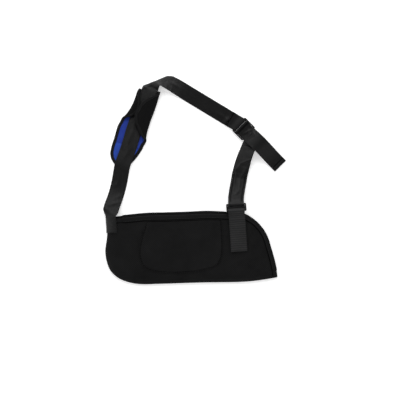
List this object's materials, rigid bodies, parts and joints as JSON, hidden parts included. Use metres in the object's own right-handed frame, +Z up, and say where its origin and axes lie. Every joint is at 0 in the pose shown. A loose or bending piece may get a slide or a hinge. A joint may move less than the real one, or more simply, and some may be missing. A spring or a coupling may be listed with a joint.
{
  "type": "arm sling",
  "caption": "Arm sling laid out flat: soft open pouch for the forearm, bound along its mouth, with a padded shoulder strap, a slider and a buckle for fitting its length.",
  "frame": {"origin": "on the surface the sling lies on, under the middle of the pouch's flat back panel", "axes": "+X along the pouch towards its wrist end, +Y across it towards the shoulder strap, +Z up from the surface"},
  "size_m": [0.4301, 0.4915, 0.0344],
  "materials": {
    "neoprene": "matt black jersey over soft laminate",
    "pocketCloth": "matt black jersey",
    "bindingTape": "black elastic tape",
    "webbing": "black woven webbing with a dull sheen",
    "ribbedWebbing": "charcoal ribbed webbing",
    "padCloth": "matt black padded cloth",
    "blueMesh": "bright blue spacer mesh",
    "mouldedPlastic": "black moulded plastic, satin"
  },
  "bodies": {
    "root": {"pouch": "neoprene", "front_binding": "bindingTape", "back_binding": "bindingTape", "pocket": "pocketCloth", "shoulder_strap": "webbing", "adjusting_strap": "webbing", "buckle_tab": "ribbedWebbing", "pad_shell": "padCloth", "pad_lining": "blueMesh", "slider": "mouldedPlastic", "buckle": "mouldedPlastic"}
  },
  "joints": []
}
